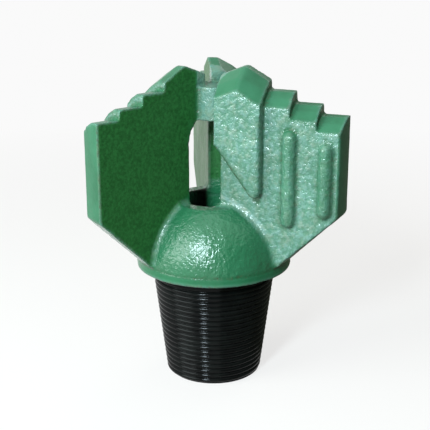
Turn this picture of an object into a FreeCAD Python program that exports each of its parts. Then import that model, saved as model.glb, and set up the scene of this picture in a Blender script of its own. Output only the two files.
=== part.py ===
"""Three-wing step drag bit: one steel casting with a machined rotary-shouldered pin.

Frame: the origin is on the bit's axis, in the plane of the pin shoulder. +Z points to the cutting end,
and the first wing points along +Y. The bit turns clockwise seen from the drill floor, which is
anticlockwise seen from the cutting end, so each wing's leading face looks to the anticlockwise side.
"""

import FreeCAD
import Part

import math
import os

from FreeCAD import Vector

# Pin: 4-1/2 regular rotary connection, lengths along the axis measured down from the shoulder.
PIN_LENGTH = 107.95
PIN_LARGE_DIAMETER = 117.475
PIN_TAPER_ON_DIAMETER = 0.25
PIN_BASE_LENGTH = 12.7
PIN_END_CHAMFER = 1.6
BORE_DIAMETER = 57.15

# Collar and domed crown, above the shoulder.
COLLAR_DIAMETER = 146.05
COLLAR_HEIGHT = 9.5
COLLAR_BEVEL = 1.6
DOME_RIM_INSET = 0.8
DOME_CENTRE_HEIGHT = 3.0
DOME_FLAT_DEPTH = 12.5
CREASE_DEPTH = 1.0

# Core post that joins the wings, and the cored water chamber under it.
POST_DIAMETER = 37.0
POST_TOP = 170.0
CHAMBER_SPRING_HEIGHT = 117.5
CHAMBER_ROOF_ANGLES = [0.0, 23.0, 46.0]

# Wings: radii are measured along the wing, heights from the shoulder.
WING_COUNT = 3
FIRST_WING_AZIMUTH = 90.0
GAUGE_DIAMETER = 254.0
WEB_THICKNESS = 26.0
LEADING_FACE_OFFSET = 1.0
GAUGE_BOTTOM_HEIGHT = 62.5
GAUGE_CORNER_ROUND = 5.0
BACK_EDGE_CHAMFER = 1.2
STEP_RADII = [103.5, 79.4, 55.8]
STEP_HEIGHTS = [150.8, 159.5, 169.7]
STEP_EDGE_ROUND = 2.0

# Top surfaces: a narrow land behind the cutting edge, then a relief in two flats with a slight crown.
LAND_WIDTH = 10.2
LAND_DROP = 0.4
RELIEF_CROWN = 1.2
WEB_TOP_DROP = 12.0
TOOTH_TOP_DROP = 17.8

# Inner tooth and the thick pad behind it.
TOOTH_THICKNESS = 36.7
TOOTH_SHOULDER_HEIGHT = 177.4
TOOTH_PEAK_RADIUS = 33.2
TOOTH_PEAK_HEIGHT = 190.2
TOOTH_PEAK_ROUND = 7.0
TOOTH_INNER_HEIGHT = 180.2
TOOTH_INNER_RADIUS_LEADING = 9.0
TOOTH_INNER_RADIUS_TRAILING = 12.4
PAD_CORNER_HEIGHT = 64.0
PAD_INNER_FOOT_HEIGHT = 121.0
PAD_CORNER_ROUND = 6.0

# Half-round ribs on the trailing face: centre along the wing, lowest and highest point.
RIB_RADIUS = 6.9
RIB_SINK = 0.8
RIB_SPANS = [(79.3, 49.5, 138.5), (111.9, 60.5, 129.5)]

# Cast fillets and rounds.
ROOT_FILLET = 5.0
ROOT_FILLET_SINK = 0.06
PAD_FILLET = 2.0

TOUCHING = 1e-3
PIN_END = -PIN_LENGTH
COLLAR_RADIUS = COLLAR_DIAMETER / 2
DOME_RADIUS = math.hypot(COLLAR_RADIUS - DOME_RIM_INSET, COLLAR_HEIGHT - DOME_CENTRE_HEIGHT)
LAND_HEIGHT = DOME_CENTRE_HEIGHT + DOME_RADIUS - DOME_FLAT_DEPTH
LAND_EDGE_RADIUS = math.sqrt(DOME_RADIUS**2 - (LAND_HEIGHT - DOME_CENTRE_HEIGHT) ** 2)
COLLAR_SIDE_TOP = COLLAR_HEIGHT - CREASE_DEPTH
BORE_RADIUS = BORE_DIAMETER / 2
GAUGE_RADIUS = GAUGE_DIAMETER / 2
WEB_BACK = LEADING_FACE_OFFSET - WEB_THICKNESS
PAD_BACK = LEADING_FACE_OFFSET - TOOTH_THICKNESS
WING_AZIMUTHS = [FIRST_WING_AZIMUTH + i * 360.0 / WING_COUNT for i in range(WING_COUNT)]


def pin_crest_radius(z):
    """Crest radius of the tapered pin at height z, which is negative below the shoulder."""
    return PIN_LARGE_DIAMETER / 2 + z * PIN_TAPER_ON_DIAMETER / 2


def closed_face(points):
    """A flat face with straight edges through the points, in order."""
    return Part.Face(Part.makePolygon(points + [points[0]]))


def rounded_face(points, rounds):
    """A flat face through the points, with each named corner rounded by a tangent arc."""
    arcs = {}
    starts = []
    ends = []
    count = len(points)
    for i, corner in enumerate(points):
        radius = rounds.get(i, 0.0)
        before = (points[i - 1] - corner).normalize()
        after = (points[(i + 1) % count] - corner).normalize()
        half_angle = before.getAngle(after) / 2
        setback = radius / math.tan(half_angle)
        starts.append(corner + before * setback)
        ends.append(corner + after * setback)
        if radius:
            middle = (before + after).normalize()
            reach = radius / math.sin(half_angle) - radius
            arcs[i] = Part.Arc(starts[i], corner + middle * reach, ends[i]).toShape()
    outline = []
    for i in range(count):
        if i in arcs:
            outline.append(arcs[i])
        if (ends[i] - starts[(i + 1) % count]).Length > TOUCHING:
            outline.append(Part.makeLine(ends[i], starts[(i + 1) % count]))
    return Part.Face(Part.Wire(Part.__sortEdges__(outline)))


def lathe(points):
    """Turns a half section, given as (radius, height) pairs, about the bit's axis."""
    section = closed_face([Vector(r, 0, z) for r, z in points])
    return section.revolve(Vector(0, 0, 0), Vector(0, 0, 1), 360)


def turned_body():
    """Pin, collar and domed crown as one turned form, still solid inside."""
    crown = Part.makeSphere(DOME_RADIUS, Vector(0, 0, DOME_CENTRE_HEIGHT))
    keep = Part.makeCylinder(DOME_RADIUS, LAND_HEIGHT - COLLAR_BEVEL, Vector(0, 0, COLLAR_BEVEL))
    crown = crown.common(keep)
    pin_base_radius = pin_crest_radius(-PIN_BASE_LENGTH)
    end_radius = pin_crest_radius(PIN_END + PIN_END_CHAMFER)
    shank = lathe(
        [
            (0, PIN_END),
            (end_radius - PIN_END_CHAMFER, PIN_END),
            (end_radius, PIN_END + PIN_END_CHAMFER),
            (pin_base_radius, -PIN_BASE_LENGTH),
            (pin_base_radius, 0),
            (COLLAR_RADIUS - COLLAR_BEVEL, 0),
            (COLLAR_RADIUS, COLLAR_BEVEL),
            (COLLAR_RADIUS, COLLAR_SIDE_TOP),
            (COLLAR_RADIUS - CREASE_DEPTH, COLLAR_HEIGHT),
            (0, COLLAR_HEIGHT),
        ]
    )
    return crown.fuse(shank)


def wing_profile():
    """Outline of a wing seen square to its leading face: stepped top and roofed tooth."""
    beyond = GAUGE_RADIUS + LAND_WIDTH
    points = [
        (0, PIN_END),
        (0, TOOTH_INNER_HEIGHT),
        (TOOTH_INNER_RADIUS_LEADING, TOOTH_INNER_HEIGHT),
        (TOOTH_PEAK_RADIUS, TOOTH_PEAK_HEIGHT),
        (STEP_RADII[-1], TOOTH_SHOULDER_HEIGHT),
    ]
    rounds = {3: TOOTH_PEAK_ROUND, 4: STEP_EDGE_ROUND}
    outer_radii = [beyond] + STEP_RADII[:-1]
    for inner, outer, height in reversed(list(zip(STEP_RADII, outer_radii, STEP_HEIGHTS))):
        points.append((inner, height))
        rounds[len(points)] = STEP_EDGE_ROUND
        points.append((outer, height))
    points.append((beyond, PIN_END))
    corners = [Vector(u, LEADING_FACE_OFFSET, z) for u, z in points]
    return rounded_face(corners, rounds)


def swept_back(face, thickness, drop):
    """The profile carried back from the leading face: along the land, then down the crowned relief."""
    start = Vector(0, LEADING_FACE_OFFSET, 0)
    heel = start + Vector(0, -LAND_WIDTH, -LAND_DROP)
    end = start + Vector(0, -thickness, -drop)
    chord = (end - heel).normalize()
    crown = (heel + end) * 0.5 + Vector(0, chord.z, -chord.y) * RELIEF_CROWN
    stations = [start, heel, crown, end]
    runs = [face.translated(a - start).extrude(b - a) for a, b in zip(stations, stations[1:])]
    return runs[0].fuse(runs[1:])


def wing_bounds():
    """What bounds a wing below and outside: the turned collar, the sloping lower edge and the gauge."""
    high = TOOTH_PEAK_HEIGHT + GAUGE_RADIUS
    section = rounded_face(
        [
            Vector(0, 0, high),
            Vector(0, 0, COLLAR_SIDE_TOP),
            Vector(COLLAR_RADIUS - CREASE_DEPTH / 2, 0, COLLAR_SIDE_TOP),
            Vector(GAUGE_RADIUS, 0, GAUGE_BOTTOM_HEIGHT),
            Vector(GAUGE_RADIUS, 0, high),
        ],
        {3: GAUGE_CORNER_ROUND},
    )
    return section.revolve(Vector(0, 0, 0), Vector(0, 0, 1), 360)


def pad_envelope():
    """The thick pad behind the tooth: flush with the first riser, with a sloping foot."""
    high = TOOTH_PEAK_HEIGHT + GAUGE_RADIUS
    rise = PAD_INNER_FOOT_HEIGHT - PAD_CORNER_HEIGHT
    slope = rise / (STEP_RADII[-1] - TOOTH_INNER_RADIUS_TRAILING)
    outline = [
        (0, high),
        (0, PAD_CORNER_HEIGHT + slope * STEP_RADII[-1]),
        (STEP_RADII[-1], PAD_CORNER_HEIGHT),
        (STEP_RADII[-1], high),
    ]
    corners = [Vector(u, LEADING_FACE_OFFSET, z) for u, z in outline]
    return rounded_face(corners, {2: PAD_CORNER_ROUND}).extrude(Vector(0, -TOOTH_THICKNESS, 0))


def inner_end_cutter():
    """Removes what lies inside the slanted inner end of a wing."""
    slant = (TOOTH_INNER_RADIUS_TRAILING - TOOTH_INNER_RADIUS_LEADING) / TOOTH_THICKNESS
    outline = [
        (-GAUGE_RADIUS, LEADING_FACE_OFFSET),
        (TOOTH_INNER_RADIUS_LEADING, LEADING_FACE_OFFSET),
        (TOOTH_INNER_RADIUS_LEADING + slant * TOOTH_THICKNESS, PAD_BACK),
        (-GAUGE_RADIUS, PAD_BACK),
    ]
    face = closed_face([Vector(u, v, 0) for u, v in outline])
    return face.extrude(Vector(0, 0, TOOTH_PEAK_HEIGHT))


def rib(centre, low, high):
    """A half-round rib with ball ends, part of it sunk in the wing's trailing face."""
    v = WEB_BACK + RIB_SINK
    bottom = Vector(centre, v, low + RIB_RADIUS)
    length = high - low - 2 * RIB_RADIUS
    body = Part.makeCylinder(RIB_RADIUS, length, bottom)
    for z in (0, length):
        body = body.fuse(Part.makeSphere(RIB_RADIUS, bottom + Vector(0, 0, z)))
    return body.removeSplitter()


def corner_fill(centre, to_web, to_crown, inside):
    """A flat section that fills a corner: an arc between two directions, closed by a point in the metal."""
    on_web = centre + to_web * ROOT_FILLET
    on_crown = centre + to_crown * ROOT_FILLET
    middle = centre + (to_web + to_crown).normalize() * ROOT_FILLET
    arc = Part.Arc(on_web, middle, on_crown).toShape()
    sides = [Part.makeLine(on_crown, inside), Part.makeLine(inside, on_web)]
    return Part.Face(Part.Wire([arc] + sides))


def dome_fillet(face_offset, side):
    """Fillet where a face of the wing rises from the dome: part of a ring about the dome's centre."""
    dome_centre = Vector(0, 0, DOME_CENTRE_HEIGHT)
    across = face_offset + side * (ROOT_FILLET - ROOT_FILLET_SINK)
    reach = DOME_RADIUS + ROOT_FILLET - ROOT_FILLET_SINK
    arm = Vector(math.sqrt(reach**2 - across**2), across, 0)
    corner_radius = math.sqrt(DOME_RADIUS**2 - face_offset**2)
    depth = ROOT_FILLET / 2
    inside = dome_centre + Vector(corner_radius - depth, face_offset - side * depth, 0)
    section = corner_fill(dome_centre + arm, Vector(0, -side, 0), arm * (-1 / reach), inside)
    return section.revolve(dome_centre, Vector(0, -1, 0), 180)


def land_fillet(face_offset, side, inner, outer):
    """Fillet where a face of the wing rises from the flat land, straight along the wing."""
    away = ROOT_FILLET - ROOT_FILLET_SINK
    depth = ROOT_FILLET / 2
    centre = Vector(inner, face_offset + side * away, LAND_HEIGHT + away)
    inside = Vector(inner, face_offset - side * depth, LAND_HEIGHT - depth)
    section = corner_fill(centre, Vector(0, -side, 0), Vector(0, 0, -1), inside)
    return section.extrude(Vector(outer - inner, 0, 0))


def root_fillet(face_offset, side):
    """The fillet along one face of the wing. side is 1 for the leading face and -1 for the trailing one."""
    across = face_offset + side * ROOT_FILLET
    inner = math.sqrt(BORE_RADIUS**2 - face_offset**2) - ROOT_FILLET
    turn = math.sqrt(LAND_EDGE_RADIUS**2 - across**2)
    overlap = ROOT_FILLET / 4
    corner = Vector(-GAUGE_RADIUS, -GAUGE_RADIUS, 0)
    over_land = Part.makeBox(turn + GAUGE_RADIUS, GAUGE_DIAMETER, GAUGE_RADIUS, corner)
    on_dome = dome_fillet(face_offset, side).cut(over_land)
    on_land = land_fillet(face_offset, side, inner, turn + overlap)
    return on_dome.common(wing_bounds()).fuse(on_land)


def wing():
    """One wing along +X: web, tooth with its pad, ribs on the trailing face and root fillets."""
    profile = wing_profile()
    web = swept_back(profile, WEB_THICKNESS, WEB_TOP_DROP).common(wing_bounds())
    pad = swept_back(profile, TOOTH_THICKNESS, TOOTH_TOP_DROP).common(pad_envelope())
    blade = web.fuse(pad)
    blade = blade.cut(inner_end_cutter()).removeSplitter()
    blade = blade.makeFillet(PAD_FILLET, [e for e in blade.Edges if is_pad_corner(e)])
    blade = blade.makeChamfer(BACK_EDGE_CHAMFER, [e for e in blade.Edges if is_trailing_lower_edge(e)])
    for centre, low, high in RIB_SPANS:
        blade = blade.fuse(rib(centre, low, high))
    blade = blade.fuse(root_fillet(LEADING_FACE_OFFSET, 1)).fuse(root_fillet(WEB_BACK, -1))
    return blade.removeSplitter()


def is_trailing_lower_edge(edge):
    """True for the edges round a wing's sloping lower side, on its trailing face."""
    for vertex in edge.Vertexes:
        u, v, z = vertex.Point
        if abs(v - WEB_BACK) > TOUCHING or z > GAUGE_BOTTOM_HEIGHT + GAUGE_CORNER_ROUND:
            return False
        if u < STEP_RADII[-1]:
            return False
    return True


def is_pad_corner(edge):
    """True for the edges where the pad's side and sloping foot rise from the web's trailing face."""
    for vertex in edge.Vertexes:
        u, v, z = vertex.Point
        if abs(v - WEB_BACK) > TOUCHING or u > STEP_RADII[-1] + TOUCHING:
            return False
        if z < PAD_CORNER_HEIGHT or z > STEP_HEIGHTS[-1] or u < TOOTH_INNER_RADIUS_LEADING:
            return False
    return edge.Length > PAD_FILLET


def water_way():
    """The bore through pin and crown, and the cored chamber above it with its faceted round roof."""
    outline = [(0, PIN_END), (BORE_RADIUS, PIN_END)]
    for angle in CHAMBER_ROOF_ANGLES:
        turn = math.radians(angle)
        outline.append((BORE_RADIUS * math.cos(turn), CHAMBER_SPRING_HEIGHT + BORE_RADIUS * math.sin(turn)))
    outline.append((0, outline[-1][1]))
    return lathe(outline)


def core_post():
    """The round post on the axis where the three wings run together above the chamber."""
    return Part.makeCylinder(POST_DIAMETER / 2, POST_TOP - LAND_HEIGHT, Vector(0, 0, LAND_HEIGHT))


def drag_bit_body():
    """The whole casting."""
    body = turned_body()
    blade = wing()
    for azimuth in WING_AZIMUTHS:
        turned = blade.copy()
        turned.rotate(Vector(0, 0, 0), Vector(0, 0, 1), azimuth)
        body = body.fuse(turned)
    body = body.fuse(core_post())
    body = body.cut(water_way())
    return body.removeSplitter()


def main():
    os.makedirs("parts", exist_ok=True)
    body = drag_bit_body()
    solid = body.Solids[0]
    print("solids", len(body.Solids), "valid", body.isValid(), "volume cm3", round(solid.Volume / 1000, 1))
    box = solid.BoundBox
    print("box", [round(c, 2) for c in (box.XMin, box.YMin, box.ZMin, box.XMax, box.YMax, box.ZMax)])
    solid.exportStep("parts/drag_bit_body.step")


main()
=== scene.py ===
"""Looks of the step drag bit: a green-enamelled casting on a black threaded pin, in a pale studio.

Lengths are in metres and angles in degrees.
"""

import math

import bmesh
import bpy
import numpy as np
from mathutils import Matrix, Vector


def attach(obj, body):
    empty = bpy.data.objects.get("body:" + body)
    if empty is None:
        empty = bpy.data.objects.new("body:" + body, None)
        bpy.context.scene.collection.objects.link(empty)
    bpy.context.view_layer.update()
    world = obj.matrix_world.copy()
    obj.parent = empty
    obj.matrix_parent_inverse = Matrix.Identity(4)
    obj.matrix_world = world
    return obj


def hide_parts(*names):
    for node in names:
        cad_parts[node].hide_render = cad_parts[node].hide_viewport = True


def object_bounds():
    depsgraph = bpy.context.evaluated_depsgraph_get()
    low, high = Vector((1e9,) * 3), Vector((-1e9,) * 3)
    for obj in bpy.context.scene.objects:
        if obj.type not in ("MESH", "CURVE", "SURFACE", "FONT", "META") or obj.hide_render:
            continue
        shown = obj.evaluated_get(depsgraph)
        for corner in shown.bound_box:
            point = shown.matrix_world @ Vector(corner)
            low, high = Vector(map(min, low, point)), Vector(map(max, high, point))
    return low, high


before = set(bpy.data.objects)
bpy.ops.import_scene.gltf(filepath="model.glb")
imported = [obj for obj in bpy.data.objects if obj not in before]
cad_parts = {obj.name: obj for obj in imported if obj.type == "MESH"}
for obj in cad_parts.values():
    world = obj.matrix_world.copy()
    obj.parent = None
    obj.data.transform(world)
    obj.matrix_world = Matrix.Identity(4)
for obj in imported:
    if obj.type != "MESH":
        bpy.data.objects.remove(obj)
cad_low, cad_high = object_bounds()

# Cast body. The real piece is one steel casting: collar, dome, three stepped wings with their ribs, and
# the water chamber under the core post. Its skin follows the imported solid, with foundry-soft edges and a
# pebbled sand-cast surface, and the tops of the steps are ground. It is sprayed with gloss green enamel.
SHOULDER_CUT = 0.0005
MERGE_DISTANCE = 1e-6
SKIN_GRID = 0.00153
RELAX_FACTOR = 0.5
RELAX_TURNS = 2


def copy_above(source, name, height):
    """A merged copy of a CAD node's mesh, cut level at the height, its two rims joined by a flat ring."""
    mesh = source.data.copy()
    mesh.name = name
    work = bmesh.new()
    work.from_mesh(mesh)
    bmesh.ops.remove_doubles(work, verts=work.verts, dist=MERGE_DISTANCE)
    everything = work.verts[:] + work.edges[:] + work.faces[:]
    cut = bmesh.ops.bisect_plane(
        work, geom=everything, plane_co=(0, 0, height), plane_no=(0, 0, 1), clear_inner=True
    )
    rim = [e for e in cut["geom_cut"] if isinstance(e, bmesh.types.BMEdge)]
    bmesh.ops.bridge_loops(work, edges=rim)
    bmesh.ops.recalc_face_normals(work, faces=work.faces)
    work.to_mesh(mesh)
    work.free()
    piece = bpy.data.objects.new(name, mesh)
    bpy.context.scene.collection.objects.link(piece)
    return piece


def apply_modifiers(piece):
    """Replaces the piece's mesh by what its modifiers make of it."""
    graph = bpy.context.evaluated_depsgraph_get()
    done = bpy.data.meshes.new_from_object(piece.evaluated_get(graph))
    done.name = piece.name
    piece.modifiers.clear()
    piece.data = done


def even_skin(piece, grid):
    """Gives the piece an even mesh of quads on its own surface: remeshed, pulled back, relaxed."""
    form = bpy.data.objects.new("form", piece.data.copy())
    bpy.context.scene.collection.objects.link(form)
    remesh = piece.modifiers.new("skin", "REMESH")
    remesh.mode = "VOXEL"
    remesh.voxel_size = grid
    pull = piece.modifiers.new("pull", "SHRINKWRAP")
    pull.wrap_method = "NEAREST_SURFACEPOINT"
    pull.target = form
    relax = piece.modifiers.new("relax", "SMOOTH")
    relax.factor = RELAX_FACTOR
    relax.iterations = RELAX_TURNS
    apply_modifiers(piece)
    form_mesh = form.data
    bpy.data.objects.remove(form)
    bpy.data.meshes.remove(form_mesh)


# The wings' azimuths and, across a wing, its leading and trailing faces. The jamb is a wing's inner end.
WING_AZIMUTHS = [90.0, 210.0, 330.0]
WEB_FRONT = 0.0008
WEB_BACK = -0.0248
JAMB_RADIUS = 0.0278
JAMB_DEPTH = 0.036
JAMB_BOTTOM = 0.058
JAMB_TOP = 0.1165
JAMB_STEPS = 24


def jamb(azimuth):
    """The casting at a wing's inner end, bored to the water way's own radius between the wing's two faces:
    an outline of the arc and the two faces, carried up from the crown to the chamber's roof. Metres."""
    arc = np.linspace(math.asin(WEB_BACK / JAMB_RADIUS), math.asin(WEB_FRONT / JAMB_RADIUS), JAMB_STEPS)
    along = np.concatenate([JAMB_RADIUS * np.cos(arc), [JAMB_DEPTH, JAMB_DEPTH]])
    across = np.concatenate([JAMB_RADIUS * np.sin(arc), [WEB_FRONT, WEB_BACK]])
    angle = math.radians(azimuth)
    level = np.stack([
        along * math.cos(angle) - across * math.sin(angle),
        along * math.sin(angle) + across * math.cos(angle),
    ], axis=-1)
    count = len(level)
    low = np.column_stack([level, np.full(count, JAMB_BOTTOM)])
    high = np.column_stack([level, np.full(count, JAMB_TOP)])
    here = np.arange(count)
    after = (here + 1) % count
    sides = np.stack([here, after, after + count, here + count], axis=-1).tolist()
    ends = [here.tolist(), (here + count).tolist()]
    mesh = bpy.data.meshes.new("jamb")
    mesh.from_pydata(np.concatenate([low, high]).tolist(), [], sides + ends)
    return mesh


def add_shells(piece, meshes):
    """Adds closed shells to the piece's mesh, their faces turned outwards."""
    work = bmesh.new()
    work.from_mesh(piece.data)
    for mesh in meshes:
        work.from_mesh(mesh)
        bpy.data.meshes.remove(mesh)
    bmesh.ops.recalc_face_normals(work, faces=work.faces)
    work.to_mesh(piece.data)
    work.free()


casting = copy_above(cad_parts["drag_bit_body"], "bit_casting", SHOULDER_CUT)
add_shells(casting, [jamb(azimuth) for azimuth in WING_AZIMUTHS])
even_skin(casting, SKIN_GRID)


def vertex_values(mesh, name):
    """The places ("co") or normals ("normal") of the mesh's vertices, as an array of shape (count, 3)."""
    values = np.zeros(len(mesh.vertices) * 3)
    mesh.vertices.foreach_get(name, values)
    return values.reshape(-1, 3)


def edge_ends(mesh):
    """The two vertex numbers of each edge, as two arrays."""
    ends = np.zeros(len(mesh.edges) * 2, dtype=np.int64)
    mesh.edges.foreach_get("vertices", ends)
    return ends[0::2], ends[1::2]


skin = vertex_values(casting.data, "co")
first_end, second_end = edge_ends(casting.data)


def neighbour_mean(values):
    """For each vertex of the skin, the mean of the values at the vertices that an edge joins to it."""
    count = len(values)
    degree = np.bincount(first_end, minlength=count) + np.bincount(second_end, minlength=count)
    total = np.bincount(first_end, weights=values[second_end], minlength=count)
    total += np.bincount(second_end, weights=values[first_end], minlength=count)
    return total / np.maximum(degree, 1)


def spread(values, turns):
    """The values after so many turns, each of which gives every vertex its neighbours' mean."""
    for turn in range(turns):
        values = neighbour_mean(values)
    return values


def rounded(places, share, turns):
    """The places after so many turns, each of which moves a vertex by its share to its neighbours' mean."""
    for turn in range(turns):
        mean = np.stack([neighbour_mean(places[:, axis]) for axis in range(3)], axis=-1)
        places = places + share[:, None] * (mean - places)
    return places


def along_and_across(vectors, azimuth):
    """The parts of the vectors along a wing, out from the axis, and across it, towards its leading side."""
    angle = math.radians(azimuth)
    along = vectors[:, 0] * math.cos(angle) + vectors[:, 1] * math.sin(angle)
    across = -vectors[:, 0] * math.sin(angle) + vectors[:, 1] * math.cos(angle)
    return along, across


def bell(distance, reach):
    """1 at no distance and less on both sides: e to minus the square of the distance over the reach."""
    return np.exp(-((distance / reach) ** 2))


def ramp(value, start, run):
    """0 up to the start and 1 from the run's end on, with a straight slope between them."""
    return np.clip((value - start) / run, 0.0, 1.0)


# The upright side edge of each pad is cast rounder than the solid's.
PAD_SIDE = 0.0558
PAD_BACK = -0.0357
PAD_TOP = 0.150
PAD_ROUNDING = 0.0042
PAD_ROUNDING_TURNS = 14

pad_edge = np.zeros(len(skin))
for azimuth in WING_AZIMUTHS:
    along, across = along_and_across(skin, azimuth)
    from_edge = np.hypot(along - PAD_SIDE, across - PAD_BACK)
    pad_edge = np.maximum(pad_edge, bell(from_edge, PAD_ROUNDING) * (skin[:, 2] < PAD_TOP))
skin = rounded(skin, pad_edge, PAD_ROUNDING_TURNS)
casting.data.vertices.foreach_set("co", skin.ravel())
casting.data.update()
outward = vertex_values(casting.data, "normal")
height = skin[:, 2]
radial = np.hypot(skin[:, 0], skin[:, 1])

# Where the skin bulges, its edges get paint chips and painted highlights; where it is hollow, it gets
# painted shade and rust. The bulge is how far a vertex stands out from its neighbours, as a share of the
# grid.
WORN_BULGE = 0.03
WORN_RUN = 0.10
CREASE_HOLLOW = 0.02
CREASE_RUN = 0.08

bulge = np.zeros(len(skin))
for axis in range(3):
    bulge += (skin[:, axis] - neighbour_mean(skin[:, axis])) * outward[:, axis]
bulge = neighbour_mean(bulge) / SKIN_GRID
worn_and_lit_edge = ramp(bulge, WORN_BULGE, WORN_RUN)
crease_shade_and_rust = ramp(-bulge, CREASE_HOLLOW, CREASE_RUN)

# The wings' smooth leading faces, their cast trailing faces, the ribs, as middle, bottom and top, and the
# line of painted shade at the foot of each pad, from its inner to its outer corner, as places along the
# wing and up.
WING_START = 0.02
LEADING_BAND = 0.003
LEADING_FACING = 0.6
TRAILING_BAND = 0.004
TRAILING_FACING = -0.3
RIBS = [(0.0793, 0.0495, 0.1385), (0.1119, 0.0605, 0.1295)]
RIB_REACH = 0.0078
RIB_FOOT = -0.0253
RIB_PEAK = -0.034
RIB_END_SPARE = 0.001
PAD_FOOT_INNER = (0.0124, 0.1210)
PAD_FOOT_OUTER = (0.0558, 0.0640)
PAD_FOOT_LINE = 0.0028
PAD_FOOT_STRENGTH = 1.3
PAD_FOOT_LENGTH = 0.066
PAD_FOOT_SPARE = 0.001
PAD_FOOT_BACK = -0.0375

leading_face = np.zeros(len(skin))
trailing_face = np.zeros(len(skin), bool)
on_rib = np.zeros(len(skin), bool)
# The line at each pad's foot gets painted shade.
pad_foot_shade = np.zeros(len(skin))
foot_run = np.subtract(PAD_FOOT_OUTER, PAD_FOOT_INNER)
foot_length = np.hypot(*foot_run)
for azimuth in WING_AZIMUTHS:
    along, across = along_and_across(skin, azimuth)
    facing = along_and_across(outward, azimuth)[1]
    leading = (abs(across) < LEADING_BAND) & (facing > LEADING_FACING) & (along > WING_START)
    leading_face = np.where(leading, 1.0, leading_face)
    trailing_face |= (abs(across - WEB_BACK) < TRAILING_BAND) & (facing < TRAILING_FACING) & (along > 0.0)
    for middle, bottom, top in RIBS:
        beside = (abs(along - middle) < RIB_REACH) & (across < RIB_FOOT) & (across > RIB_PEAK)
        on_rib |= beside & (height > bottom - RIB_END_SPARE) & (height < top + RIB_END_SPARE)
    from_inner = np.stack([along, height], axis=-1) - np.array(PAD_FOOT_INNER)
    down_foot = from_inner @ foot_run / foot_length
    off_foot = (from_inner[:, 0] * foot_run[1] - from_inner[:, 1] * foot_run[0]) / foot_length
    line = np.clip(PAD_FOOT_STRENGTH * bell(off_foot, PAD_FOOT_LINE), 0.0, 1.0)
    line = line * (down_foot > 0.0) * (down_foot < PAD_FOOT_LENGTH)
    pad_foot_shade = np.maximum(pad_foot_shade, line * (across < WEB_BACK + PAD_FOOT_SPARE) * (across > PAD_FOOT_BACK))

# Painted shade darkens the hollows, the pads' feet and the groove above the rim. Painted highlights lighten
# the bulging edges and the dome's root, where the wings' trailing faces rise from it.
DOME_MIDDLE = 0.003
DOME_RADIUS = 0.0726
ROOT_REACH = 0.004
ROOT_BOTTOM = 0.012
ROOT_BAND = 0.0026
ROOT_BAND_BOTTOM = 0.028
ROOT_BAND_RUN = 0.020
CREASE_GAIN = 1.7
CREASE_SHARE = 0.5
RIM_INNER = 0.068
RIM_REACH = 0.003
RIM_CREASE = 0.0090
RIM_CREASE_LINE = 0.0010
HIGHLIGHT_ON_EDGES = 0.4
HIGHLIGHT_AT_ROOT = 0.55

from_middle = np.hypot(radial, height - DOME_MIDDLE)
root = crease_shade_and_rust * (from_middle < DOME_RADIUS + ROOT_REACH) * (height > ROOT_BOTTOM)
root_band = bell(from_middle - DOME_RADIUS - ROOT_BAND, ROOT_BAND) * trailing_face
root_band = root_band * ramp(height, ROOT_BAND_BOTTOM, ROOT_BAND_RUN)
crease_shade_and_rust = np.clip(neighbour_mean(crease_shade_and_rust) * CREASE_GAIN, 0.0, 1.0)
crease_shade_and_rust = crease_shade_and_rust * (from_middle > DOME_RADIUS + ROOT_REACH)
rim = (radial > RIM_INNER) & (from_middle < DOME_RADIUS + RIM_REACH)
rim_crease = bell(height - RIM_CREASE, RIM_CREASE_LINE) * rim
crease_shade_and_rust = np.maximum(np.maximum(CREASE_SHARE * crease_shade_and_rust, pad_foot_shade), rim_crease)
painted_highlight = np.clip(HIGHLIGHT_ON_EDGES * worn_and_lit_edge + np.maximum(HIGHLIGHT_AT_ROOT * root, root_band), 0.0, 1.0)

# The dome, the core post, the turned collar, the gauge sides, the ground tops and the chamber's walls.
CHAMBER_RADIUS = 0.0305
CHAMBER_TOP = 0.140
CHAMBER_SPARE = 0.0005
DOME_SPARE = 0.0015
DOME_MOUTH = 0.0035
POST_FOOT = 0.119
POST_RADIUS = 0.0195
COLLAR_TOP = 0.0092
COLLAR_INNER = 0.06
GAUGE_INNER = 0.1250
GAUGE_FACING = 0.7
WALL_FACING = 0.3
GROUND_ABOVE = 0.130
GROUND_FACING = 0.4
AXIS_SPARE = 1e-6
HIGHLIGHT_ON_POST = 0.60

on_dome = (from_middle < DOME_RADIUS + DOME_SPARE) & (radial > CHAMBER_RADIUS - DOME_MOUTH)
on_post = (height > POST_FOOT) & (radial < POST_RADIUS)
on_collar = (height < COLLAR_TOP) & (radial > COLLAR_INNER)
facing_out = (outward[:, 0] * skin[:, 0] + outward[:, 1] * skin[:, 1]) / np.maximum(radial, AXIS_SPARE)
on_gauge = (radial > GAUGE_INNER) & (facing_out > GAUGE_FACING)
on_top = (height > GROUND_ABOVE) & (outward[:, 2] > GROUND_FACING)
in_chamber = (radial < CHAMBER_RADIUS + CHAMBER_SPARE) & (height < CHAMBER_TOP)
in_chamber = in_chamber & (facing_out < WALL_FACING) & ~on_dome
# A painted highlight lies on the core post.
painted_highlight = np.maximum(painted_highlight, HIGHLIGHT_ON_POST * on_post)

# How far each place is smoothed from the rough casting, and how coarse the cast skin is that is left there.
CHAMBER_SMOOTH = 0.9
COLLAR_GROUND = 0.45
GAUGE_GROUND = 0.85
TOP_GROUND = 0.95
LEADING_GROUND = 0.72
COLLAR_COARSE = 0.30
RIB_COARSE = 0.88
DOME_COARSE = 0.76
POST_COARSE = 0.86
DOME_SHADE_SHARE = 0.6
SPREAD_TURNS = 3

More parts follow.
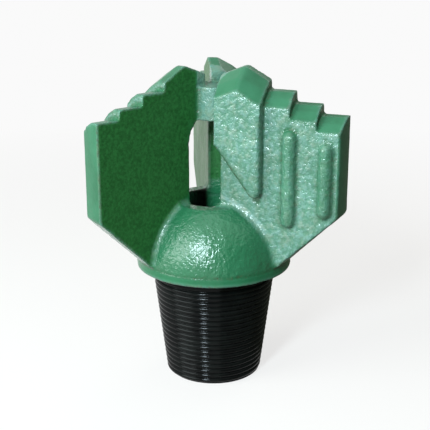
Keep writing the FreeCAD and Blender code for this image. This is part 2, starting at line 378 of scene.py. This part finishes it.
# The chamber's walls are ground like the leading faces and get the same painted shade.
leading_face = np.where(in_chamber, CHAMBER_SMOOTH, leading_face)
smoothed = [on_collar, on_gauge, on_top, leading_face > 0.5]
ground = np.select(smoothed, [COLLAR_GROUND, GAUGE_GROUND, TOP_GROUND, LEADING_GROUND], 0.0)
cast_share = 1.0 - neighbour_mean(ground)
leading_face = neighbour_mean(leading_face)
cast_kinds = [on_collar, on_rib, on_dome, on_post]
coarse = np.select(cast_kinds, [COLLAR_COARSE, RIB_COARSE, DOME_COARSE, POST_COARSE], 1.0)
coarse = spread(coarse, SPREAD_TURNS) * cast_share
# The dome and the collar get a darker painted shade.
dome_shade = spread(DOME_SHADE_SHARE * (on_dome | on_collar), SPREAD_TURNS)

# The water way is coloured near-black below the crown's mouth, on the side between the two given bounds in
# degrees, and all round lower down.
CROWN_TOP = 0.0631
DARK_START = 0.003
DARK_RUN = 0.0025
DARK_FROM = 92.0
DARK_FROM_RUN = 4.0
DARK_TO = -100.0
DARK_BELOW = 0.035

around = np.degrees(np.arctan2(skin[:, 1], skin[:, 0]))
dark_side = np.clip(ramp(around, DARK_FROM, DARK_FROM_RUN) + (around < DARK_TO), 0.0, 1.0)
in_bore = ramp(CROWN_TOP + DARK_START - height, 0.0, DARK_RUN) * (radial < CHAMBER_RADIUS) * dark_side
in_bore = np.maximum(in_bore, (height < DARK_BELOW) & (radial < CHAMBER_RADIUS))

# The sand mould's pebbles, dimples and broad swells, each with its cell and its height, the enamel's own
# hollow lines, and the bead on the collar's lower rim. The skin starts a little inside the solid.
SKIN_INSET = 0.0005
PEBBLE_CELL = 0.0062
PEBBLE_HEIGHT = 0.00032
DIMPLE_CELL = 0.0034
DIMPLE_HEIGHT = 0.00018
SWELL_CELL = 0.022
SWELL_HEIGHT = 0.00030
SWELL_EVERYWHERE = 0.3
SWELL_ON_CAST = 0.7
CREASE_SINK = 0.0006
RIM_BEAD = 0.0010
RIM_BEAD_TOP = 0.0034
RIM_BEAD_RUN = 0.0024
RIM_BEAD_INNER = 0.070
HASH_STEPS = np.array([73856093, 19349663, 83492791])
HASH_SEED = 2654435761
HASH_MIX = 1274126177
HASH_MASK = 0xFFFFF


def value_noise(places, cell, seed):
    """Smooth noise from -1 to 1: values hashed from the corners of a cubic grid, blended by cubic steps."""
    scaled = places / cell
    base = np.floor(scaled).astype(np.int64)
    part = scaled - base
    blend = part * part * (3.0 - 2.0 * part)
    total = np.zeros(len(places))
    for corner in range(8):
        step = np.array([corner & 1, corner >> 1 & 1, corner >> 2 & 1])
        key = (base + step) @ HASH_STEPS + seed * HASH_SEED
        key = (key ^ (key >> 13)) * HASH_MIX
        key = (key ^ (key >> 16)) & HASH_MASK
        weight = np.prod(np.where(step == 1, blend, 1.0 - blend), axis=1)
        total += weight * (key / HASH_MASK * 2.0 - 1.0)
    return total


def point_attribute(mesh, name, values):
    """Stores one number a vertex, for the materials to read."""
    mesh.attributes.new(name, "FLOAT", "POINT").data.foreach_set("value", values)


lift = PEBBLE_HEIGHT * value_noise(skin, PEBBLE_CELL, 1) + DIMPLE_HEIGHT * value_noise(skin, DIMPLE_CELL, 2)
swell = SWELL_HEIGHT * value_noise(skin, SWELL_CELL, 3) * (SWELL_EVERYWHERE + SWELL_ON_CAST * cast_share)
lift = lift * coarse + swell - SKIN_INSET - CREASE_SINK * crease_shade_and_rust
lift = lift + RIM_BEAD * ramp(RIM_BEAD_TOP - height, 0.0, RIM_BEAD_RUN) * (radial > RIM_BEAD_INNER)
point_attribute(casting.data, "cast_share", cast_share)
point_attribute(casting.data, "coarse", coarse)
point_attribute(casting.data, "leading_face", leading_face)
point_attribute(casting.data, "worn_and_lit_edge", worn_and_lit_edge)
point_attribute(casting.data, "crease_shade_and_rust", crease_shade_and_rust)
point_attribute(casting.data, "dome_shade", dome_shade)
point_attribute(casting.data, "painted_highlight", painted_highlight)
point_attribute(casting.data, "in_bore", in_bore)
casting.data.vertices.foreach_set("co", (skin + outward * lift[:, None]).ravel())
casting.data.polygons.foreach_set("use_smooth", np.ones(len(casting.data.polygons), bool))


def node_material(name):
    """A new material with a node tree, and its Principled shader."""
    material = bpy.data.materials.new(name)
    material.use_nodes = True
    tree = material.node_tree
    shader = tree.nodes["Principled BSDF"]
    return material, tree, shader


def noise_node(tree, vector, scale, detail, roughness):
    """A noise texture on the given coordinates."""
    noise = tree.nodes.new("ShaderNodeTexNoise")
    noise.inputs["Scale"].default_value = scale
    noise.inputs["Detail"].default_value = detail
    noise.inputs["Roughness"].default_value = roughness
    tree.links.new(vector, noise.inputs["Vector"])
    return noise.outputs["Fac"]


def math_node(tree, operation, first, second):
    """A Math node. Each input is a socket or a number."""
    node = tree.nodes.new("ShaderNodeMath")
    node.operation = operation
    for slot, value in zip(node.inputs, (first, second)):
        if isinstance(value, (int, float)):
            slot.default_value = value
        else:
            tree.links.new(value, slot)
    return node.outputs[0]


def range_node(tree, value, low, high, to_low, to_high):
    """A clamped linear map of a value from one range to another."""
    node = tree.nodes.new("ShaderNodeMapRange")
    for slot, number in zip(node.inputs[1:5], (low, high, to_low, to_high)):
        slot.default_value = number
    tree.links.new(value, node.inputs["Value"])
    return node.outputs["Result"]


def mix_colour(tree, share, under, over):
    """A blend of two colours. Each is a socket or four numbers."""
    node = tree.nodes.new("ShaderNodeMix")
    node.data_type = "RGBA"
    tree.links.new(share, node.inputs["Factor"])
    for slot, value in zip((node.inputs[6], node.inputs[7]), (under, over)):
        if isinstance(value, tuple):
            slot.default_value = value
        else:
            tree.links.new(value, slot)
    return node.outputs[2]


def attribute_node(tree, name):
    """One of the numbers that the mesh holds for each vertex."""
    node = tree.nodes.new("ShaderNodeAttribute")
    node.attribute_name = name
    return node.outputs["Fac"]


def bump_normal(tree, relief, strength, distance):
    """The normal that a Bump node makes of the relief, whose height of 1 stands for the distance."""
    bump = tree.nodes.new("ShaderNodeBump")
    bump.inputs["Strength"].default_value = strength
    bump.inputs["Distance"].default_value = distance
    tree.links.new(relief, bump.inputs["Height"])
    return bump.outputs["Normal"]


# The noises of the group that both finishes share, as scale, detail and roughness. The group's inputs set
# the scales.
CLOUD_NOISE = (1.0, 4.0, 0.6)
GRAIN_NOISE = (1.0, 4.0, 0.72)


def cloud_and_grain():
    """A node group: a soft cloud and a fine grain from 0 to 1, at the sizes that each finish asks for."""
    group = bpy.data.node_groups.new("cloud_and_grain", "ShaderNodeTree")
    group.interface.new_socket(name="Place", in_out="INPUT", socket_type="NodeSocketVector")
    group.interface.new_socket(name="Cloud scale", in_out="INPUT", socket_type="NodeSocketFloat")
    group.interface.new_socket(name="Grain scale", in_out="INPUT", socket_type="NodeSocketFloat")
    group.interface.new_socket(name="Cloud", in_out="OUTPUT", socket_type="NodeSocketFloat")
    group.interface.new_socket(name="Grain", in_out="OUTPUT", socket_type="NodeSocketFloat")
    entry = group.nodes.new("NodeGroupInput")
    leave = group.nodes.new("NodeGroupOutput")
    cloud = noise_node(group, entry.outputs["Place"], *CLOUD_NOISE)
    grain = noise_node(group, entry.outputs["Place"], *GRAIN_NOISE)
    group.links.new(entry.outputs["Cloud scale"], cloud.node.inputs["Scale"])
    group.links.new(entry.outputs["Grain scale"], grain.node.inputs["Scale"])
    group.links.new(cloud, leave.inputs["Cloud"])
    group.links.new(grain, leave.inputs["Grain"])
    return group


def group_outputs(tree, group, place, cloud_scale, grain_scale):
    """The cloud and the grain of one finish, from the shared group."""
    node = tree.nodes.new("ShaderNodeGroup")
    node.node_tree = group
    tree.links.new(place, node.inputs["Place"])
    node.inputs["Cloud scale"].default_value = cloud_scale
    node.inputs["Grain scale"].default_value = grain_scale
    return node.outputs["Cloud"], node.outputs["Grain"]


# The enamel's colours, linear. It is deep green where it is whole, and smooth on the leading faces. A pale
# bluish painted sheen lies on the crests of the rough casting, and painted highlights on its edges, the
# dome's root and the core post. Painted shade darkens the hollows and the dome and collar, and darkens and
# yellows the leading faces and the chamber's walls.
ENAMEL_DEEP = (0.026, 0.136, 0.063, 1)
ENAMEL_LIGHT = (0.046, 0.196, 0.100, 1)
PAINTED_CREASE_SHADE = (0.010, 0.085, 0.030, 1)
ENAMEL_DOME_SHADE = (0.007, 0.126, 0.045, 1)
ENAMEL_LEADING_SHADE = (0.024, 0.144, 0.033, 1)
ENAMEL_LEADING_SHADE_DEEP = (0.014, 0.090, 0.019, 1)
PAINTED_SHEEN_COOL = (0.28, 0.45, 0.42, 1)
PAINTED_SHEEN_WARM = (0.37, 0.46, 0.38, 1)
WORN_STEEL = (0.090, 0.075, 0.045, 1)
CREASE_RUST = (0.075, 0.050, 0.028, 1)
DARK_BORE = (0.006, 0.008, 0.006, 1)

# Its noises, as scale, detail and roughness, and the ranges that turn them into shares, each as from low,
# from high, to low and to high.
ENAMEL_SCALES = (26.0, 340.0)
WRINKLE_NOISE = (275.0, 2.5, 0.56)
WARM_NOISE = (120.0, 3.0, 0.7)
CHIP_NOISE = (230.0, 3.0, 0.7)
RUST_NOISE = (160.0, 3.0, 0.7)
PATCH_RANGE = (0.34, 0.68, 0.0, 1.0)
LEADING_SHADE_RANGE = (0.40, 0.60, 0.0, 1.0)
SHEEN_CREST_RANGE = (0.40, 0.63, 0.14, 0.42)
SHEEN_PATCH_RANGE = (0.30, 0.70, 0.75, 1.25)
SHEEN_COARSE_RANGE = (0.78, 1.0, 0.0, 1.0)
WARM_RANGE = (0.45, 0.62, 0.0, 1.0)
CHIP_RANGE = (0.53, 0.61, 0.0, 0.45)
RUST_RANGE = (0.55, 0.62, 0.0, 0.7)
ROUGHNESS_RANGE = (0.3, 0.7, 0.26, 0.38)
COAT_RANGE = (0.3, 1.0, 0.12, 1.0)
HIGHLIGHT_SHARE = 0.60
CREASE_SHADE_SHARE = 0.85
COARSE_ROUGHNESS = 0.14
LEAST_WRINKLES = 0.06
WRINKLE_HEIGHT = 0.0014
ENAMEL_SPECULAR = 0.16
ENAMEL_COAT_ROUGHNESS = 0.19

finish_marks = cloud_and_grain()
enamel, tree, shader = node_material("green_enamel")
shader.inputs["Specular IOR Level"].default_value = ENAMEL_SPECULAR
shader.inputs["Coat Roughness"].default_value = ENAMEL_COAT_ROUGHNESS
coordinates = tree.nodes.new("ShaderNodeTexCoord").outputs["Object"]
share_coarse = attribute_node(tree, "coarse")
patches, grain = group_outputs(tree, finish_marks, coordinates, *ENAMEL_SCALES)
wrinkles = noise_node(tree, coordinates, *WRINKLE_NOISE)

paint = mix_colour(tree, range_node(tree, patches, *PATCH_RANGE), ENAMEL_DEEP, ENAMEL_LIGHT)
# Painted shade on the leading faces and the chamber's walls: a darker, yellower green, mottled by the
# grain.
leading_shade = mix_colour(tree, range_node(tree, grain, *LEADING_SHADE_RANGE), ENAMEL_LEADING_SHADE, ENAMEL_LEADING_SHADE_DEEP)
paint = mix_colour(tree, attribute_node(tree, "leading_face"), paint, leading_shade)
# The darker painted shade on the dome and collar.
paint = mix_colour(tree, attribute_node(tree, "dome_shade"), paint, ENAMEL_DOME_SHADE)
# Painted sheen: the crests of the rough casting's wrinkles are mixed towards a pale bluish colour, with the
# painted highlights added.
sheen_crests = range_node(tree, wrinkles, *SHEEN_CREST_RANGE)
sheen_crests = math_node(tree, "MULTIPLY", sheen_crests, range_node(tree, patches, *SHEEN_PATCH_RANGE))
painted_sheen = math_node(tree, "MULTIPLY", sheen_crests, range_node(tree, share_coarse, *SHEEN_COARSE_RANGE))
# The painted highlights on edges, the dome's root and the core post.
pale = math_node(tree, "MULTIPLY", attribute_node(tree, "painted_highlight"), HIGHLIGHT_SHARE)
painted_sheen = math_node(tree, "MAXIMUM", painted_sheen, pale)
warmth = range_node(tree, noise_node(tree, coordinates, *WARM_NOISE), *WARM_RANGE)
paint = mix_colour(tree, painted_sheen, paint, mix_colour(tree, warmth, PAINTED_SHEEN_COOL, PAINTED_SHEEN_WARM))
# Painted shade: the hollows, the pads' feet and the groove above the rim are mixed towards a dark green.
# Rust lies in the same hollows.
crease_shade = math_node(tree, "MULTIPLY", attribute_node(tree, "crease_shade_and_rust"), CREASE_SHADE_SHARE)
paint = mix_colour(tree, crease_shade, paint, PAINTED_CREASE_SHADE)
chips = range_node(tree, noise_node(tree, coordinates, *CHIP_NOISE), *CHIP_RANGE)
chips = math_node(tree, "MULTIPLY", chips, attribute_node(tree, "worn_and_lit_edge"))
paint = mix_colour(tree, chips, paint, WORN_STEEL)
rust = range_node(tree, noise_node(tree, coordinates, *RUST_NOISE), *RUST_RANGE)
rust = math_node(tree, "MULTIPLY", rust, attribute_node(tree, "crease_shade_and_rust"))
paint = mix_colour(tree, rust, paint, CREASE_RUST)
paint = mix_colour(tree, attribute_node(tree, "in_bore"), paint, DARK_BORE)
tree.links.new(paint, shader.inputs["Base Color"])

dullness = math_node(tree, "MULTIPLY", share_coarse, COARSE_ROUGHNESS)
dullness = math_node(tree, "ADD", range_node(tree, patches, *ROUGHNESS_RANGE), dullness)
tree.links.new(dullness, shader.inputs["Roughness"])
coat = range_node(tree, attribute_node(tree, "cast_share"), *COAT_RANGE)
tree.links.new(coat, shader.inputs["Coat Weight"])
relief = math_node(tree, "MULTIPLY", wrinkles, math_node(tree, "MAXIMUM", share_coarse, LEAST_WRINKLES))
wrinkled = bump_normal(tree, relief, 1.0, WRINKLE_HEIGHT)
tree.links.new(wrinkled, shader.inputs["Normal"])
tree.links.new(wrinkled, shader.inputs["Coat Normal"])

casting.data.materials.clear()
casting.data.materials.append(enamel)
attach(casting, "root")
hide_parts("drag_bit_body")

# Threaded pin. It is turned on the same casting: a plain base under the shoulder, then the tapered
# right-hand rotary thread, five to the inch, and a chamfered end round the bore. It has a black lacquer.
PIN_LENGTH = 0.10795
PIN_BASE_RADIUS = 0.05715
PIN_BASE_LENGTH = 0.0062
PIN_CREST_RADIUS = 0.0587375
PIN_TAPER = 0.125
THREAD_PITCH = 0.00508
THREAD_DEPTH = 0.0019
THREAD_START_TURN = 0.32
THREAD_RUN_OUT = 0.0020
END_CHAMFER = 0.0016
BORE_RADIUS = 0.028575
BASE_STEP = 1e-5
TURN_STEPS = 160
THREAD_ROWS = 400


def grid_faces(rows, columns):
    """Quads of a grid that closes on itself both ways."""
    row, column = np.meshgrid(np.arange(rows), np.arange(columns), indexing="ij")
    after_row, after_column = (row + 1) % rows, (column + 1) % columns
    corners = [
        row * columns + column,
        after_row * columns + column,
        after_row * columns + after_column,
        row * columns + after_column,
    ]
    return np.stack(corners, axis=-1).reshape(-1, 4)


def thread_groove(z, angle):
    """Depth of the thread below the crest cone: round ridges, by the square of the way to the root."""
    phase = (z / THREAD_PITCH - angle / math.tau + THREAD_START_TURN) % 1.0
    from_crest = 1.0 - 2.0 * abs(phase - 0.5)
    return THREAD_DEPTH * from_crest ** 2


def pin_outline(z, angle):
    """Outer radius of the pin: plain base, then crest cone less the groove, and a 45-degree end chamfer."""
    crest = np.minimum(PIN_CREST_RADIUS + z * PIN_TAPER, PIN_BASE_RADIUS)
    radius = crest - thread_groove(z, angle) * ramp(-z, PIN_BASE_LENGTH, THREAD_RUN_OUT)
    chamfer = PIN_CREST_RADIUS - PIN_LENGTH * PIN_TAPER - END_CHAMFER + (z + PIN_LENGTH)
    radius = np.minimum(radius, chamfer)
    return np.where(z > -PIN_BASE_LENGTH, PIN_BASE_RADIUS, radius)


# The grid's rows run down the outside. The last two are the bore's two rims, and the grid closes between
# them and across both ends.
threaded_heights = np.linspace(-PIN_BASE_LENGTH - BASE_STEP, -PIN_LENGTH, THREAD_ROWS)
heights = np.concatenate([[0.0, -PIN_BASE_LENGTH + BASE_STEP], threaded_heights, [-PIN_LENGTH, 0.0]])
turns = np.arange(TURN_STEPS) * math.tau / TURN_STEPS
z_grid, angle_grid = np.meshgrid(heights, turns, indexing="ij")
radius_grid = pin_outline(z_grid, angle_grid)
radius_grid[-2:] = BORE_RADIUS
pin_places = np.stack([radius_grid * np.cos(angle_grid), radius_grid * np.sin(angle_grid), z_grid], axis=-1)
pin_mesh = bpy.data.meshes.new("pin_thread")
pin_mesh.from_pydata(pin_places.reshape(-1, 3).tolist(), [], grid_faces(len(heights), TURN_STEPS).tolist())
pin_mesh.validate()
pin = bpy.data.objects.new("pin_thread", pin_mesh)
bpy.context.scene.collection.objects.link(pin)
pin_mesh.polygons.foreach_set("use_smooth", np.ones(len(pin_mesh.polygons), bool))

LACQUER_BLACK = (0.0030, 0.0034, 0.0032, 1)
LACQUER_DUSTY = (0.0052, 0.0066, 0.0058, 1)
LACQUER_SCALES = (60.0, 900.0)
DUST_RANGE = (0.40, 0.70, 0.0, 1.0)
LACQUER_ROUGHNESS_RANGE = (0.3, 0.7, 0.09, 0.14)
LACQUER_SPECULAR = 0.09
BRUSH_STRENGTH = 0.10
BRUSH_HEIGHT = 0.0004

lacquer, tree, shader = node_material("black_lacquer")
shader.inputs["Specular IOR Level"].default_value = LACQUER_SPECULAR
coordinates = tree.nodes.new("ShaderNodeTexCoord").outputs["Object"]
cloud, brush = group_outputs(tree, finish_marks, coordinates, *LACQUER_SCALES)
dust = range_node(tree, cloud, *DUST_RANGE)
tree.links.new(mix_colour(tree, dust, LACQUER_BLACK, LACQUER_DUSTY), shader.inputs["Base Color"])
tree.links.new(range_node(tree, cloud, *LACQUER_ROUGHNESS_RANGE), shader.inputs["Roughness"])
tree.links.new(bump_normal(tree, brush, BRUSH_STRENGTH, BRUSH_HEIGHT), shader.inputs["Normal"])
pin_mesh.materials.append(lacquer)
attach(pin, "root")
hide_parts("drag_bit_body")

# Studio. A pale floor under the end of the pin, which runs out into a white surround, with a broad window
# of light from the left, a weak soft light above, a small lamp beside the camera and a weak window behind.
FLOOR_SIZE = 6.0
FLOOR_NEAR = 0.35
FLOOR_FAR = 1.1
FLOOR_PAINT = (0.235, 0.222, 0.208, 1)
FLOOR_ROUGHNESS = 0.9
NEAR_GLOW = 0.76
BACKGROUND = (0.955, 0.955, 0.955, 1)
AMBIENT_COLOUR = (1.0, 0.97, 0.84, 1)
AMBIENT_STRENGTH = 0.17
FAR_PAINT = (0, 0, 0, 1)
LEVEL_ONLY = (1, 1, 0)

floor_mesh = bpy.data.meshes.new("studio_floor")
half = FLOOR_SIZE / 2
level = cad_low.z
corners = [(-half, -half, level), (half, -half, level), (half, half, level), (-half, half, level)]
floor_mesh.from_pydata(corners, [], [(0, 1, 2, 3)])
floor = bpy.data.objects.new("studio_floor", floor_mesh)
bpy.context.scene.collection.objects.link(floor)


def seen_directly(tree):
    """1 for camera, glossy and transmission rays, which see the studio's white, and 0 for light."""
    path = tree.nodes.new("ShaderNodeLightPath").outputs
    seen = math_node(tree, "MAXIMUM", path["Is Camera Ray"], path["Is Glossy Ray"])
    return math_node(tree, "MAXIMUM", seen, path["Is Transmission Ray"])


world = bpy.data.worlds.new("studio")
world.use_nodes = True
bpy.context.scene.world = world
sky = world.node_tree
ambient = sky.nodes["Background"]
ambient.inputs["Color"].default_value = AMBIENT_COLOUR
ambient.inputs["Strength"].default_value = AMBIENT_STRENGTH
white = sky.nodes.new("ShaderNodeBackground")
white.inputs["Color"].default_value = BACKGROUND
mix = sky.nodes.new("ShaderNodeMixShader")
sky.links.new(seen_directly(sky), mix.inputs["Fac"])
sky.links.new(ambient.outputs[0], mix.inputs[1])
sky.links.new(white.outputs[0], mix.inputs[2])
sky.links.new(mix.outputs[0], sky.nodes["World Output"].inputs["Surface"])

paper, tree, shader = node_material("studio_paper")
shader.inputs["Roughness"].default_value = FLOOR_ROUGHNESS
shader.inputs["Specular IOR Level"].default_value = 0.0
place = tree.nodes.new("ShaderNodeTexCoord").outputs["Object"]
flat_place = tree.nodes.new("ShaderNodeVectorMath")
flat_place.operation = "MULTIPLY"
flat_place.inputs[1].default_value = LEVEL_ONLY
tree.links.new(place, flat_place.inputs[0])
distance = tree.nodes.new("ShaderNodeVectorMath")
distance.operation = "LENGTH"
tree.links.new(flat_place.outputs["Vector"], distance.inputs[0])
far_away = range_node(tree, distance.outputs["Value"], FLOOR_NEAR, FLOOR_FAR, 0.0, 1.0)
tree.links.new(mix_colour(tree, far_away, FLOOR_PAINT, FAR_PAINT), shader.inputs["Base Color"])
shader.inputs["Emission Color"].default_value = BACKGROUND
glow = range_node(tree, far_away, 0.0, 1.0, NEAR_GLOW, 1.0)
glow = math_node(tree, "MULTIPLY", seen_directly(tree), glow)
tree.links.new(glow, shader.inputs["Emission Strength"])
floor_mesh.materials.append(paper)

LAMP_TARGET = Vector((0, 0, 0.06))


def soft_lamp(name, azimuth, elevation, distance, size, power, colour):
    """A rectangular area lamp aimed at the middle of the bit. Azimuth 0 is +X, 90 is +Y."""
    light = bpy.data.lights.new(name, "AREA")
    light.shape = "RECTANGLE"
    light.size, light.size_y = size
    light.energy = power
    light.color = colour
    lamp = bpy.data.objects.new(name, light)
    angle, rise = math.radians(azimuth), math.radians(elevation)
    towards = Vector((math.cos(angle) * math.cos(rise), math.sin(angle) * math.cos(rise), math.sin(rise)))
    lamp.location = LAMP_TARGET + towards * distance
    lamp.rotation_euler = towards.to_track_quat("Z", "Y").to_euler()
    bpy.context.scene.collection.objects.link(lamp)


soft_lamp(
    "window", azimuth=196.0, elevation=22.0, distance=1.6,
    size=(1.00, 1.05), power=23.0, colour=(0.86, 0.96, 0.96),
)
soft_lamp(
    "ceiling", azimuth=200.0, elevation=74.0, distance=1.7,
    size=(1.2, 1.2), power=3.5, colour=(0.78, 0.94, 1.0),
)
soft_lamp(
    "camera_lamp", azimuth=238.5, elevation=27.0, distance=1.8,
    size=(0.26, 0.50), power=41.0, colour=(0.74, 0.90, 1.0),
)
soft_lamp(
    "back_window", azimuth=45.0, elevation=28.0, distance=1.8,
    size=(0.9, 0.9), power=6.0, colour=(1.0, 0.98, 0.94),
)

# A dim cloth on the right of the bit, seen by reflections alone, gives the gloss paint its darker side. It
# lies on the floor from its near rim, then rises round the bit: a grid over the turn and the way outwards,
# whose radius grows with the sine of that way, and whose height with its fourth power.
CARD_NEAR = 0.06
CARD_FAR = 0.75
CARD_ABOVE_FLOOR = 0.001
CARD_HEIGHT = 0.70
CARD_RISE_POWER = 4
CARD_FROM = -88.0
CARD_TO = 72.0
CARD_STEPS = 32
CARD_ROWS = 16
CARD_PAINT = (0.19, 0.19, 0.14, 1)

card_turns = np.radians(np.linspace(CARD_FROM, CARD_TO, CARD_STEPS))
card_shares = np.linspace(0.0, 1.0, CARD_ROWS)
card_share, card_turn = np.meshgrid(card_shares, card_turns, indexing="ij")
card_radius = CARD_NEAR + (CARD_FAR - CARD_NEAR) * np.sin(card_share * math.pi / 2)
card_height = cad_low.z + CARD_ABOVE_FLOOR + CARD_HEIGHT * card_share ** CARD_RISE_POWER
card_places = [card_radius * np.cos(card_turn), card_radius * np.sin(card_turn), card_height]
card_places = np.stack(card_places, axis=-1).reshape(-1, 3)
card_row, card_column = np.meshgrid(np.arange(CARD_ROWS - 1), np.arange(CARD_STEPS - 1), indexing="ij")
card_first = (card_row * CARD_STEPS + card_column).ravel()
card_above = card_first + CARD_STEPS
card_faces = np.stack([card_first, card_first + 1, card_above + 1, card_above], axis=-1)
card_mesh = bpy.data.meshes.new("dark_card")
card_mesh.from_pydata(card_places.tolist(), [], card_faces.tolist())
card = bpy.data.objects.new("dark_card", card_mesh)
bpy.context.scene.collection.objects.link(card)
card.visible_camera = False
card.visible_diffuse = False
card.visible_shadow = False
card_paint, tree, shader = node_material("dark_card")
shader.inputs["Base Color"].default_value = CARD_PAINT
shader.inputs["Specular IOR Level"].default_value = 0.0
card_mesh.materials.append(card_paint)

# Camera. It stands where the photograph was taken from, in front of the bit and a little above it, with
# the lens that gives the bit its size in the frame.
CAMERA_PLACE = Vector((-0.14570, -0.87701, 0.33001))
CAMERA_TARGET = Vector((0.001185, -0.000199, 0.045342))
SENSOR_WIDTH = 36.0
LENS = 83.12
CLIP_START = 0.01
camera_data = bpy.data.cameras.new("camera")
camera_data.sensor_width = SENSOR_WIDTH
camera_data.lens = LENS
camera_data.clip_start = CLIP_START
camera = bpy.data.objects.new("camera", camera_data)
camera.location = CAMERA_PLACE
camera.rotation_euler = (CAMERA_TARGET - CAMERA_PLACE).to_track_quat("-Z", "Y").to_euler()
bpy.context.scene.collection.objects.link(camera)
bpy.context.scene.camera = camera
bpy.context.scene.view_settings.view_transform = "Standard"
